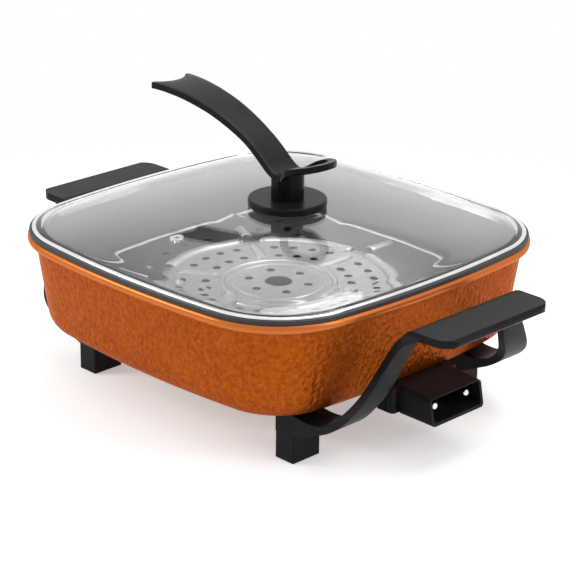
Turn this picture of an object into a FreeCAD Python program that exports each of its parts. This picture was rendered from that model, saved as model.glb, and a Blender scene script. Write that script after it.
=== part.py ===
import FreeCAD, Part
import math
import os

# Electric skillet with a lift-off glass lid, a steaming rack and a thermostat socket, in mm.
# +X points to the socket, -Y to the front, +Z up. The origin is on the floor under the pan's centre.

V = FreeCAD.Vector
UP = V(0, 0, 1)

# One outline shape: a square with bowed sides and round corners, shared by pan, rack and lid rim.
LIP_HALF = 158.3
LIP_CORNER = 72.5
SIDE_RADIUS = 816.0

# Cutters run past the faces that they open by this much
PAST = 1.0

# Pan
LIP_TOP = 118.5
LIP_DEPTH = 6.5
LIP_OVERHANG = 6.8
LIP_ROUNDING = 2.6
WALL_TOP = LIP_TOP - LIP_DEPTH
BASE_Z = 40.0
BASE_THICKNESS = 5.0
WALL_DRAFT = 0.14
WALL_CORNER = 62.0
CORNER_SHRINK = 0.9
WALL_THICKNESS = 3.8
BASE_ROUNDING = 20.0
LEDGE_RISE = 31.0
LEDGE_Z = BASE_Z + LEDGE_RISE
LEDGE_WIDTH = 3.2
WELL_DRAFT = 0.05
WELL_ROUNDING = 9.0
MOUTH_CORNER = WALL_CORNER - 3.0
LEDGE_CORNER = WALL_CORNER - 9.0
WELL_CORNER = WALL_CORNER - 12.0
FLOOR_CORNER = WALL_CORNER - 14.0

# Element under the base
ELEMENT_RADIUS = 90.0
ELEMENT_TUBE_R = 3.3
ELEMENT_SET = 2.0
ELEMENT_Z = BASE_Z - ELEMENT_SET
ELEMENT_BEND = 14.0
RIB_HALF_WIDTH = 6.5
RIB_DEPTH = 3.4

# Block and socket, placed from the pan's lip and the element's height
BLOCK_INSET = 8.3
BLOCK_DEPTH = 17.0
BLOCK_FRONT = LIP_HALF - BLOCK_INSET
BLOCK_BACK = BLOCK_FRONT - BLOCK_DEPTH
BLOCK_HALF = 34.0
BLOCK_RISE = 10.0
BLOCK_FALL = 9.0
BLOCK_TOP = ELEMENT_Z + BLOCK_RISE
BLOCK_BOTTOM = ELEMENT_Z - BLOCK_FALL
PIN_SPREAD = 17.0
PIN_R = 3.15
PIN_COLLAR_R = 3.6
PIN_ROOT = 9.0
PIN_REACH = 25.0
PIN_NOSE = 1.9
PIN_START = BLOCK_FRONT - PIN_ROOT
PIN_TIP = BLOCK_FRONT + PIN_REACH
INSULATOR_R = 5.0
INSULATOR_LENGTH = 5.0
PROBE_R = 3.5
PROBE_TUBE_R = 5.0
PROBE_LENGTH = 58.0
PROBE_START = BLOCK_FRONT - PROBE_LENGTH
PROBE_FLOOR = 4.0
SOCKET_DEPTH_TOP = 28.0
SOCKET_DEPTH_BOTTOM = 32.0
SOCKET_HALF = 27.4
SOCKET_RISE = 12.0
SOCKET_FALL = 10.8
SOCKET_TOP = ELEMENT_Z + SOCKET_RISE
SOCKET_BOTTOM = ELEMENT_Z - SOCKET_FALL
SOCKET_DROP = 2.6
SOCKET_WALL = 2.4
SOCKET_BACK_WALL = 3.0
SOCKET_ROUNDING = 3.0
SOCKET_SCREW_Y = 8.5
SOCKET_SCREW_FALL = 5.0
SOCKET_SCREW_Z = ELEMENT_Z - SOCKET_SCREW_FALL
SOCKET_SCREW_R = 1.6
SOCKET_SCREW_HEAD_R = 3.0
SOCKET_SCREW_HEAD = 2.0
SOCKET_SCREW_LENGTH = 14.0
SOCKET_SLOT_WIDTH = 0.8
SOCKET_SLOT_DEPTH = 0.8
PIN_CLEARANCE = 0.4

# Side handles and feet, placed from the pan's lip
FOOT_INSET_X = 59.9
FOOT_INSET_Y = 85.8
FOOT_LENGTH = 18.1
FOOT_WIDTH = 26.6
FOOT_X0 = LIP_HALF - FOOT_INSET_X
FOOT_X1 = FOOT_X0 + FOOT_LENGTH
FOOT_Y0 = LIP_HALF - FOOT_INSET_Y
FOOT_Y1 = FOOT_Y0 + FOOT_WIDTH
FOOT_TOP = 20.5
FOOT_ROUNDING = 1.0
PAD_DROP = 3.0
PAD_TOP = BASE_Z - PAD_DROP
GRIP_DROP = 8.8
GRIP_THICKNESS = 5.8
GRIP_GAP = 28.7
GRIP_DEPTH = 30.0
GRIP_TOP = LIP_TOP - GRIP_DROP
GRIP_BOTTOM = GRIP_TOP - GRIP_THICKNESS
GRIP_ROOT_X = LIP_HALF + GRIP_GAP
GRIP_OUTER = GRIP_ROOT_X + GRIP_DEPTH
GRIP_HALF = 56.0
GRIP_CORNER = 14.0
GRIP_EDGE = 2.4
# Curves of the legs: each list is stretched so that its ends meet the pad and the grip
LEG_SETBACK = 0.5
LEG_LEAN = 2.0
LEG_SHOULDER = 3.7
LEG_ARCH_HALF = 35.0
LEG_ARCH_DROP = 0.9
LEG_INNER_CURVE = [(116.0, 37.0), (131.0, 35.7), (141.0, 37.4), (150.0, 42.0), (156.5, 48.5),
                   (161.5, 55.5), (165.0, 63.0), (168.0, 73.0), (170.2, 83.0), (172.8, 94.5),
                   (175.4, 101.5), (180.0, 107.2), (187.0, 109.7)]
LEG_OUTER_CURVE = [(189.0, 103.9), (184.6, 102.2), (181.0, 98.3), (178.6, 93.0), (175.6, 82.0),
                   (173.4, 72.0), (170.6, 61.5), (167.0, 53.0), (162.0, 45.2), (155.0, 38.6),
                   (146.0, 33.0), (136.0, 28.4), (126.0, 23.8), (116.5, 20.5)]
LEG_OUTSIDE = [(56.0, 106.0), (58.0, 102.5), (61.0, 99.0), (65.5, 93.0), (72.0, 83.0), (79.0, 72.5),
               (86.0, 62.0), (91.5, 54.5), (95.5, 48.0), (98.2, 41.5), (99.1, 36.0)]
LEG_INSIDE = [(72.5, 36.0), (71.8, 43.0), (69.4, 49.5), (65.5, 56.0), (61.8, 61.5), (58.0, 68.0),
              (53.8, 77.5), (49.2, 87.0), (45.0, 94.0), (41.0, 99.5), (35.0, 103.0)]
BOSS_R = 8.0
FOOT_SCREW_R = 2.1
FOOT_SCREW_HEAD_R = 4.2
FOOT_SCREW_HEAD = 3.4
FOOT_SCREW_COVER = 6.5
FOOT_SCREW_BITE = 3.2
FOOT_SCREW_SEAT = FOOT_TOP - FOOT_SCREW_COVER
FOOT_SCREW_TIP = BASE_Z + FOOT_SCREW_BITE
CROSS_REACH = 2.6
CROSS_WIDTH = 1.0
CROSS_DEPTH = 1.6
SCREW_CLEARANCE = 0.4

# Rack, which stands on the pan's ledge inside its wall
RACK_GAP = 1.56
RACK_RISE = 6.7
RACK_TOP = LEDGE_Z + RACK_RISE
RACK_SHEET = 1.5
RACK_STEP = 6.0
RACK_CORNER = WALL_CORNER - 8.0
BEAD_R = 4.0
BEAD_HEIGHT = 1.6
BEAD_TIP = 0.7
RACK_RING_R = 88.1
RACK_RING_GAP = 7.0
RIB_START_R = 42.0
RIB_TO_RING = 10.0
RIB_TO_EDGE = 14.4
CENTRE_HOLE_R = 10.3
SMALL_HOLE_R = 3.2
# Small holes: radii of the inner rings, then steps out from the raised ring, each with its angles
CENTRE_RING = 22.8
INNER_RING = (54.0, (-15.0, 0.0, 15.0))
RING_INSET = 16.0
RING_ANGLES = (-18.0, -6.0, 6.0, 18.0)
CORNER_HOLES = [(16.0, -8.0), (16.0, 5.0), (30.0, -3.0), (30.0, 8.0), (44.0, 0.0)]
SIDE_HOLES = [(16.0, -12.0), (16.0, 0.0), (16.0, 12.0)]

# Lid, placed from the pan's lip and mouth
RIM_INSET = 3.3
RIM_HALF = LIP_HALF - RIM_INSET
RIM_SHEET = 0.5
RIM_LIP = 3.2
RIM_ROUNDING = 0.45
GASKET_BASE = 1.0
GASKET_EDGE = 2.0
GASKET_LIP = 2.1
SKIRT_GAP = 2.61
SKIRT_DEPTH = 4.0
GLASS_EDGE = 2.8
GLASS_GAP = 0.2
GLASS_DROP = 3.6
DOME_MARGIN = 4.8
DOME_HEIGHT = 17.8
# Dome sections as half width, rise, corner and side radius, over a base of this half width
DOME_BASE = 147.0
DOME = [(138.0, 4.6, 62.0, 500.0), (118.0, 9.8, 66.0, 300.0), (90.0, 14.3, 62.0, 150.0),
        (62.0, 17.0, 52.0, 80.0), (40.0, 17.8, 36.0, 44.0)]
VENT_X = -5.0
VENT_Y = -98.0
VENT_TILT = 9.0
VENT_SET = 0.5
VENT_FLANGE_R = 5.0
VENT_FLANGE = 0.8
VENT_TUBE_R = 2.6
VENT_BORE_R = 1.5
VENT_SLACK = 0.2

# Lid handle: the knob stands off the lid's centre towards the socket
KNOB_X = 8.3
SEAL_R = 20.0
SEAL_THICKNESS = 0.8
DISC_R = 29.5
DISC_THICKNESS = 5.9
DISC_EDGE = 1.4
POST_R = 12.3
LID_HOLE_R = 4.0
LID_WASHER_R = 9.0
LID_WASHER = 1.2
LID_SCREW_R = 2.5
LID_SCREW_HEAD_R = 4.8
LID_SCREW_HEAD = 3.2
LID_SCREW_ROUNDING = 1.2
LID_SLOT_WIDTH = 1.2
LID_SLOT_DEPTH = 1.2
INSERT_R = 4.5
INSERT_LENGTH = 13.5
# The arm's heights are over the disc and its lengths are from the knob's axis
ARM_THICKNESS = 4.8
ARM_RISE = 64.3
ARM_REACH = 130.3
ARM_TIP_HALF = 19.0
ARM_MID_REACH = 33.3
ARM_MID_HALF = 13.0
ARM_NOTCH_R = 19.0
ARM_NOTCH_DEPTH = 9.0
RING_OFFSET = 21.4
RING_R = 20.5
RING_HOLE_R = 14.2
RING_RISE = 36.5
RING_PAST = 0.8
ARM_TIP_X = KNOB_X - ARM_REACH
ARM_MID_X = KNOB_X - ARM_MID_REACH
RING_X = KNOB_X + RING_OFFSET
# Curve of the arm's top, stretched so that its ends meet the tip and the ring's far side
ARM_TOP_CURVE = [(-121.0, 211.6), (-108.0, 211.6), (-95.0, 210.6), (-82.0, 208.8), (-70.0, 206.3),
                 (-58.0, 203.2), (-48.5, 200.0), (-38.0, 195.8), (-27.0, 190.6), (-16.0, 184.0),
                 (-6.0, 176.6), (2.0, 170.4), (9.0, 167.6), (15.0, 169.4), (20.5, 173.4),
                 (26.0, 176.8), (33.0, 179.2), (42.0, 181.4), (51.0, 183.8)]


def bowed_wire(half, corner, side, z):
    """Closed outline of four bowed sides and four round corners, all tangent."""
    shift = half - side
    reach = side - corner
    centre = (shift + math.sqrt(2.0 * reach * reach - shift * shift)) / 2.0
    length = math.hypot(centre - shift, centre)
    tx = shift + side * (centre - shift) / length
    ty = side * centre / length
    tip = centre + corner / math.sqrt(2.0)
    edges = []
    for quarter in range(4):
        turn = FreeCAD.Rotation(UP, 90.0 * quarter)
        points = [V(tx, -ty, z), V(half, 0, z), V(tx, ty, z), V(tip, tip, z), V(ty, tx, z)]
        a, b, c, d, e = [turn.multVec(p) for p in points]
        edges.append(Part.Arc(a, b, c).toShape())
        edges.append(Part.Arc(c, d, e).toShape())
    return Part.Wire(edges)


def bowed_solid(half, corner, side, z0, z1):
    """Upright block on a bowed outline."""
    face = Part.Face(bowed_wire(half, corner, side, z0))
    return face.extrude(V(0, 0, z1 - z0))


def like_lip(half, z0, z1):
    """Block whose outline runs parallel to the pan's lip."""
    inset = LIP_HALF - half
    return bowed_solid(half, LIP_CORNER - inset, SIDE_RADIUS - inset, z0, z1)


def like_lip_wire(half, z):
    """Outline parallel to the pan's lip."""
    inset = LIP_HALF - half
    return bowed_wire(half, LIP_CORNER - inset, SIDE_RADIUS - inset, z)


def lip_ring(inner, outer, z0, z1):
    """Frame between two outlines parallel to the pan's lip."""
    return like_lip(outer, z0, z1).cut(like_lip(inner, z0 - PAST, z1 + PAST))


def tapered(half0, corner0, z0, half1, corner1, z1):
    """Block whose outline changes evenly from z0 to z1."""
    side = SIDE_RADIUS - LIP_OVERHANG
    low = bowed_wire(half0, corner0, side - (half1 - half0), z0)
    high = bowed_wire(half1, corner1, side, z1)
    return Part.makeLoft([low, high], True, True)


def rod(x, y, z0, z1, r):
    """Upright cylinder."""
    return Part.makeCylinder(r, z1 - z0, V(x, y, z0), UP)


def rod_x(x0, x1, y, z, r):
    """Cylinder along X."""
    return Part.makeCylinder(r, x1 - x0, V(x0, y, z), V(1, 0, 0))


def block(x0, x1, y0, y1, z0, z1):
    """Box between two corners."""
    return Part.makeBox(x1 - x0, y1 - y0, z1 - z0, V(x0, y0, z0))


def spline(points):
    """Smooth edge through points."""
    curve = Part.BSplineCurve()
    curve.interpolate(points)
    return curve.toShape()


def fitted(points, start, end):
    """Points stretched in both directions so that the first and last land on two places."""
    (x0, z0), (x1, z1) = points[0], points[-1]
    kx = (end[0] - start[0]) / (x1 - x0)
    kz = (end[1] - start[1]) / (z1 - z0)
    return [(start[0] + kx * (x - x0), start[1] + kz * (z - z0)) for x, z in points]


def chain(points):
    """Straight edges through points."""
    return [Part.makeLine(a, b) for a, b in zip(points, points[1:])]


def joined(shapes):
    """One solid from overlapping solids."""
    first = shapes[0]
    return first.fuse(shapes[1:]).removeSplitter()


def wall_half(z):
    """Half width of the pan's outer wall at a height."""
    return LIP_HALF - LIP_OVERHANG - (WALL_TOP - z) * WALL_DRAFT


def inner_half(z):
    """Half width of the pan's inside above the ledge at a height."""
    return wall_half(z) - WALL_THICKNESS


def element_path():
    """Centre line of the element: one long arc with a leg to each pin."""
    reach = ELEMENT_RADIUS + ELEMENT_BEND
    drop = PIN_SPREAD + ELEMENT_BEND
    bend_x = math.sqrt(reach * reach - drop * drop)
    k = ELEMENT_RADIUS / reach
    angle = math.atan2(drop, bend_x)
    half_turn = (math.pi / 2.0 + angle) / 2.0
    edges = []
    for sign in (-1, 1):
        start = V(PIN_START, sign * PIN_SPREAD, ELEMENT_Z)
        corner = V(bend_x, sign * PIN_SPREAD, ELEMENT_Z)
        turn = math.pi / 2.0 + (math.pi / 2.0 - angle) / 2.0
        middle = V(bend_x + ELEMENT_BEND * math.cos(turn),
                   sign * (drop - ELEMENT_BEND * math.sin(turn)), ELEMENT_Z)
        meet = V(bend_x * k, sign * drop * k, ELEMENT_Z)
        leg = [Part.makeLine(start, corner), Part.Arc(corner, middle, meet).toShape()]
        if sign < 0:
            edges += leg
            lower = meet
        else:
            back = V(-ELEMENT_RADIUS, 0, ELEMENT_Z)
            edges.append(Part.Arc(lower, back, meet).toShape())
            edges += [Part.Arc(meet, middle, corner).toShape(), Part.makeLine(corner, start)]
    return Part.Wire(edges)


def heating_element():
    """Tube bent to the element's path."""
    start = V(PIN_START, -PIN_SPREAD, ELEMENT_Z)
    ring = Part.Wire([Part.makeCircle(ELEMENT_TUBE_R, start, V(1, 0, 0))])
    return element_path().makePipeShell([ring], True, True)


def feet_places():
    """Plan centre of each foot."""
    x = (FOOT_X0 + FOOT_X1) / 2.0
    y = (FOOT_Y0 + FOOT_Y1) / 2.0
    return [(sx * x, sy * y) for sx in (1, -1) for sy in (-1, 1)]


def pan_outside():
    """Outer form of the pan: tapered bowl, lip, element rib, probe lug and screw bosses."""
    low = wall_half(BASE_Z)
    corner = WALL_CORNER - CORNER_SHRINK * (wall_half(WALL_TOP) - low)
    bowl = tapered(low, corner, BASE_Z, wall_half(WALL_TOP), WALL_CORNER, WALL_TOP)
    foot_edges = [e for e in bowl.Edges if e.BoundBox.ZMax < BASE_Z + 0.01]
    bowl = bowl.makeFillet(BASE_ROUNDING, foot_edges)
    lip = like_lip(LIP_HALF, WALL_TOP, LIP_TOP)
    rims = [e for e in lip.Edges if e.BoundBox.ZLength < 0.01]
    lip = lip.makeFillet(LIP_ROUNDING, rims)
    rib_floor = BASE_Z - RIB_DEPTH
    overlap = BASE_Z + BASE_THICKNESS / 2.0
    rib = rod(0, 0, rib_floor, overlap, ELEMENT_RADIUS + RIB_HALF_WIDTH)
    rib = rib.cut(rod(0, 0, rib_floor - PAST, overlap + PAST, ELEMENT_RADIUS - RIB_HALF_WIDTH))
    lug = block(ELEMENT_RADIUS, wall_half(BASE_Z) - BASE_ROUNDING, -PIN_SPREAD - RIB_HALF_WIDTH,
                PIN_SPREAD + RIB_HALF_WIDTH, rib_floor, overlap)
    bosses = [rod(x, y, PAD_TOP, overlap, BOSS_R) for x, y in feet_places()]
    return joined([bowl, lip, rib, lug] + bosses)


def pan_inside():
    """Hollow of the pan: drafted wall, a ledge for the rack and a narrower well below it."""
    floor = BASE_Z + BASE_THICKNESS
    rise = LIP_TOP + PAST
    ledge_half = inner_half(LEDGE_Z)
    upper = tapered(ledge_half, LEDGE_CORNER, LEDGE_Z, inner_half(rise), MOUTH_CORNER, rise)
    well_half = ledge_half - LEDGE_WIDTH
    low_half = well_half - (LEDGE_Z - floor) * WELL_DRAFT
    well = tapered(low_half, FLOOR_CORNER, floor, well_half, WELL_CORNER, LEDGE_Z)
    low_edges = [e for e in well.Edges if e.BoundBox.ZMax < floor + 0.01]
    well = well.makeFillet(WELL_ROUNDING, low_edges)
    return upper.fuse(well)


def pan_body(element):
    """Cast pan with the element, probe tube and screw holes let in."""
    pan = pan_outside().cut(pan_inside())
    pan = pan.cut(element)
    pan = pan.cut(rod_x(PROBE_START, BLOCK_FRONT, 0, ELEMENT_Z, PROBE_TUBE_R))
    for x, y in feet_places():
        pan = pan.cut(rod(x, y, PAD_TOP - PAST, FOOT_SCREW_TIP, FOOT_SCREW_R))
    return pan


def probe_tube():
    """Blind tube that takes a thermostat's probe."""
    tube = rod_x(PROBE_START, BLOCK_FRONT, 0, ELEMENT_Z, PROBE_TUBE_R)
    return tube.cut(rod_x(PROBE_START + PROBE_FLOOR, BLOCK_FRONT + PAST, 0, ELEMENT_Z, PROBE_R))


def terminal_pins():
    """Two round-nosed pins with a collar at the element's ends."""
    pins = []
    for sign in (-1, 1):
        pin = rod_x(PIN_START, PIN_TIP, sign * PIN_SPREAD, ELEMENT_Z, PIN_R)
        nose = [e for e in pin.Edges if e.BoundBox.XMin > PIN_TIP - 0.01]
        pin = pin.makeFillet(PIN_NOSE, nose)
        collar = rod_x(PIN_START, BLOCK_FRONT + PAST, sign * PIN_SPREAD, ELEMENT_Z, PIN_COLLAR_R)
        pins.append(joined([pin, collar]))
    return Part.makeCompound(pins)


def pin_insulators():
    """Ceramic sleeve round each pin where it passes the block."""
    sleeves = []
    for sign in (-1, 1):
        y = sign * PIN_SPREAD
        end = BLOCK_FRONT - SCREW_CLEARANCE
        sleeve = rod_x(end - INSULATOR_LENGTH, end, y, ELEMENT_Z, INSULATOR_R)
        sleeves.append(sleeve.cut(rod_x(PIN_START, PIN_TIP, y, ELEMENT_Z, PIN_COLLAR_R)))
    return Part.makeCompound(sleeves)


def terminal_block(pan):
    """Block under the pan's edge that carries the pins, the probe tube and the socket."""
    body = block(BLOCK_BACK, BLOCK_FRONT, -BLOCK_HALF, BLOCK_HALF, BLOCK_BOTTOM, BLOCK_TOP)
    upright = [e for e in body.Edges if e.BoundBox.ZLength > 1.0]
    body = body.makeFillet(SOCKET_ROUNDING, upright)
    for sign in (-1, 1):
        y = sign * PIN_SPREAD
        body = body.cut(rod_x(BLOCK_BACK - PAST, PIN_START, y, ELEMENT_Z, ELEMENT_TUBE_R))
        body = body.cut(rod_x(PIN_START, BLOCK_FRONT + PAST, y, ELEMENT_Z, PIN_COLLAR_R))
        end = BLOCK_FRONT + PAST
        body = body.cut(rod_x(BLOCK_FRONT - INSULATOR_LENGTH - SCREW_CLEARANCE, end, y,
                              ELEMENT_Z, INSULATOR_R))
        body = body.cut(rod_x(BLOCK_FRONT - SOCKET_SCREW_LENGTH + SOCKET_BACK_WALL, end,
                              sign * SOCKET_SCREW_Y, SOCKET_SCREW_Z, SOCKET_SCREW_R))
    body = body.cut(rod_x(BLOCK_BACK - PAST, BLOCK_FRONT + PAST, 0, ELEMENT_Z, PROBE_TUBE_R))
    return body.cut(pan)


def socket_profile(inset, x0, x1_top, x1_bottom):
    """Socket's outer form seen from the side, carried across its width and rounded."""
    half = SOCKET_HALF - inset
    points = [V(x0, -half, SOCKET_BOTTOM + inset), V(x1_bottom, -half, SOCKET_BOTTOM + inset),
              V(x1_top, -half, SOCKET_TOP - SOCKET_DROP - inset), V(x0, -half, SOCKET_TOP - inset)]
    face = Part.Face(Part.makePolygon(points + points[:1]))
    solid = face.extrude(V(0, 2.0 * half, 0))
    along = [e for e in solid.Edges if e.BoundBox.YLength < 0.01 and e.BoundBox.XLength > SOCKET_WALL * 2.0]
    return solid.makeFillet(SOCKET_ROUNDING - inset / 2.0, along)


def socket_housing():
    """Open-fronted shroud round the pins, with holes for the pins, the probe and two screws."""
    top_x = BLOCK_FRONT + SOCKET_DEPTH_TOP
    bottom_x = BLOCK_FRONT + SOCKET_DEPTH_BOTTOM
    shroud = socket_profile(0.0, BLOCK_FRONT, top_x, bottom_x)
    room = socket_profile(SOCKET_WALL, BLOCK_FRONT + SOCKET_BACK_WALL,
                          top_x + SOCKET_DEPTH_TOP, bottom_x + SOCKET_DEPTH_TOP)
    shroud = shroud.cut(room)
    start = BLOCK_FRONT - PAST
    end = BLOCK_FRONT + SOCKET_BACK_WALL + PAST
    for sign in (-1, 1):
        shroud = shroud.cut(rod_x(start, end, sign * PIN_SPREAD, ELEMENT_Z,
                                  PIN_COLLAR_R + PIN_CLEARANCE))
        shroud = shroud.cut(rod_x(start, end, sign * SOCKET_SCREW_Y, SOCKET_SCREW_Z,
                                  SOCKET_SCREW_R + SCREW_CLEARANCE))
    return shroud.cut(rod_x(start, end, 0, ELEMENT_Z, PROBE_R + PIN_CLEARANCE))


def socket_screws():
    """Two screws that hold the shroud to the block."""
    seat = BLOCK_FRONT + SOCKET_BACK_WALL
    screws = []
    for sign in (-1, 1):
        y = sign * SOCKET_SCREW_Y
        tip = BLOCK_FRONT - SOCKET_SCREW_LENGTH + SOCKET_BACK_WALL
        shank = rod_x(tip, seat, y, SOCKET_SCREW_Z, SOCKET_SCREW_R)
        top = seat + SOCKET_SCREW_HEAD
        head = rod_x(seat, top, y, SOCKET_SCREW_Z, SOCKET_SCREW_HEAD_R)
        wide = SOCKET_SCREW_HEAD_R + PAST
        slot = block(top - SOCKET_SLOT_DEPTH, top + PAST, y - wide, y + wide,
                     SOCKET_SCREW_Z - SOCKET_SLOT_WIDTH / 2.0, SOCKET_SCREW_Z + SOCKET_SLOT_WIDTH / 2.0)
        screws.append(joined([shank, head]).cut(slot))
    return Part.makeCompound(screws)


def handle_side_form():
    """Handle seen from the front: pad, bent leg and grip as one band, carried across its width."""
    y = -FOOT_Y1 - PAST
    inner = [V(x, y, z) for x, z in
             fitted(LEG_INNER_CURVE, (FOOT_X1 - LEG_SETBACK, PAD_TOP), (GRIP_ROOT_X, GRIP_TOP))]
    outer = [V(x, y, z) for x, z in
             fitted(LEG_OUTER_CURVE, (GRIP_ROOT_X + LEG_LEAN, GRIP_BOTTOM), (FOOT_X1, FOOT_TOP))]
    rim = [inner[-1], V(GRIP_OUTER - GRIP_EDGE, y, GRIP_TOP), V(GRIP_OUTER, y, GRIP_TOP - GRIP_EDGE),
           V(GRIP_OUTER, y, GRIP_BOTTOM + GRIP_EDGE / 2.0),
           V(GRIP_OUTER - GRIP_EDGE / 2.0, y, GRIP_BOTTOM), outer[0]]
    pad = [outer[-1], V(FOOT_X0, y, FOOT_TOP), V(FOOT_X0, y, PAD_TOP), inner[0]]
    wire = Part.Wire([spline(inner)] + chain(rim) + [spline(outer)] + chain(pad))
    return Part.Face(wire).extrude(V(0, -2.0 * y, 0))


def handle_end_form():
    """Handle seen along X: two splayed legs under the grip."""
    x = FOOT_X0 - PAST
    reach = GRIP_OUTER - FOOT_X0 + 2.0 * PAST
    foot_z = PAD_TOP - PAST
    out_r = [V(x, y, z) for y, z in
             fitted(LEG_OUTSIDE, (GRIP_HALF, GRIP_TOP - LEG_SHOULDER), (FOOT_Y1, foot_z))]
    in_r = [V(x, y, z) for y, z in
            fitted(LEG_INSIDE, (FOOT_Y0, foot_z), (LEG_ARCH_HALF, GRIP_BOTTOM - LEG_ARCH_DROP))]
    out_l = [V(x, -p.y, p.z) for p in reversed(out_r)]
    in_l = [V(x, -p.y, p.z) for p in reversed(in_r)]
    low = FOOT_TOP - PAST
    high = GRIP_TOP + PAST
    edges = [spline(out_r)]
    edges += chain([out_r[-1], V(x, FOOT_Y1, low), V(x, FOOT_Y0, low), in_r[0]])
    edges += [spline(in_r)] + chain([in_r[-1], in_l[0]]) + [spline(in_l)]
    edges += chain([in_l[-1], V(x, -FOOT_Y0, low), V(x, -FOOT_Y1, low), out_l[0]])
    edges += [spline(out_l)] + chain([out_l[-1], V(x, -GRIP_HALF, high), V(x, GRIP_HALF, high),
                                      out_r[0]])
    return Part.Face(Part.Wire(edges)).extrude(V(reach, 0, 0))


def handle_plan_form():
    """Handle seen from above: the grip's outer corners are round."""
    half = FOOT_Y1 + 2.0 * PAST
    top = GRIP_TOP + 2.0 * PAST
    core_x = GRIP_ROOT_X + GRIP_DEPTH - GRIP_CORNER - 8.0 * PAST
    core = block(FOOT_X0 - PAST, core_x, -half, half, 0.0, top)
    grip = block(GRIP_ROOT_X - PAST, GRIP_OUTER, -GRIP_HALF, GRIP_HALF, 0.0, top)
    corners = [e for e in grip.Edges
               if e.BoundBox.ZLength > 1.0 and e.BoundBox.XMin > GRIP_OUTER - 0.01]
    return core.fuse(grip.makeFillet(GRIP_CORNER, corners))


def side_handle():
    """Handle on the +X side, with a screw hole in each pad."""
    handle = handle_side_form().common(handle_end_form()).common(handle_plan_form())
    for x, y in feet_places()[:2]:
        handle = handle.cut(rod(x, y, 0.0, PAD_TOP + PAST, FOOT_SCREW_R + SCREW_CLEARANCE))
    return handle


def foot(x, y):
    """Foot block with a countersunk screw hole."""
    dx = (FOOT_X1 - FOOT_X0) / 2.0
    dy = (FOOT_Y1 - FOOT_Y0) / 2.0
    body = block(x - dx, x + dx, y - dy, y + dy, 0.0, FOOT_TOP)
    upright = [e for e in body.Edges if e.BoundBox.ZLength > 1.0]
    body = body.makeFillet(FOOT_ROUNDING, upright)
    body = body.cut(rod(x, y, -PAST, FOOT_TOP + PAST, FOOT_SCREW_R + SCREW_CLEARANCE))
    return body.cut(rod(x, y, -PAST, FOOT_SCREW_SEAT, FOOT_SCREW_HEAD_R + SCREW_CLEARANCE))


def foot_screws():
    """One screw through each foot and handle pad into a boss of the pan."""
    screws = []
    for x, y in feet_places():
        low = FOOT_SCREW_SEAT - FOOT_SCREW_HEAD
        head = rod(x, y, low, FOOT_SCREW_SEAT, FOOT_SCREW_HEAD_R)
        shank = rod(x, y, low + FOOT_SCREW_HEAD / 2.0, FOOT_SCREW_TIP, FOOT_SCREW_R)
        screw = joined([head, shank])
        for dx, dy in ((CROSS_REACH, CROSS_WIDTH / 2.0), (CROSS_WIDTH / 2.0, CROSS_REACH)):
            slot = block(x - dx, x + dx, y - dy, y + dy, low - PAST, low + CROSS_DEPTH)
            screw = screw.cut(slot)
        screws.append(screw)
    return Part.makeCompound(screws)


def bead(radius, spine):
    """Round-backed bead in the rack: an arc of the ring or a radial rib."""
    z = RACK_TOP + BEAD_HEIGHT - BEAD_R
    if spine[0] == "arc":
        turn = spine[1]
        shape = Part.makeTorus(RACK_RING_R, radius, V(0, 0, z), UP, 0.0, 360.0, spine[2])
        shape.rotate(V(0, 0, 0), UP, turn)
        return shape
    turn, r0, r1 = spine[1:]
    tip = radius * BEAD_TIP
    shape = joined([rod_x(r0, r1, 0, z, radius),
                    Part.makeCone(radius, radius - tip, tip, V(r0, 0, z), V(-1, 0, 0)),
                    Part.makeCone(radius, radius - tip, tip, V(r1, 0, z), V(1, 0, 0))])
    shape.rotate(V(0, 0, 0), UP, turn)
    return shape


def rack_spines():
    """Every bead of the rack, as arcs and ribs."""
    gap = math.degrees(RACK_RING_GAP / RACK_RING_R)
    edge = inner_half(LEDGE_Z) - RACK_GAP - RIB_TO_EDGE
    spines = []
    for k in range(6):
        turn = 30.0 + 60.0 * k
        spines.append(("arc", turn + gap, 60.0 - 2.0 * gap))
        spines.append(("rib", turn, RIB_START_R, RACK_RING_R - RIB_TO_RING))
        spines.append(("rib", turn, RACK_RING_R + RIB_TO_RING, edge))
    return spines


def rack_holes():
    """Places of the rack's small holes, as radius and angle."""
    places = [(CENTRE_RING, 30.0 + 60.0 * k) for k in range(6)]
    for k in range(6):
        places += [(RACK_RING_R - RING_INSET, 60.0 * k + a) for a in RING_ANGLES]
        places += [(INNER_RING[0], 60.0 * k + a) for a in INNER_RING[1]]
    for k in range(4):
        places += [(RACK_RING_R + out, 45.0 + 90.0 * k + a) for out, a in CORNER_HOLES]
    for k in range(2):
        places += [(RACK_RING_R + out, 180.0 * k + a) for out, a in SIDE_HOLES]
    return places


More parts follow.
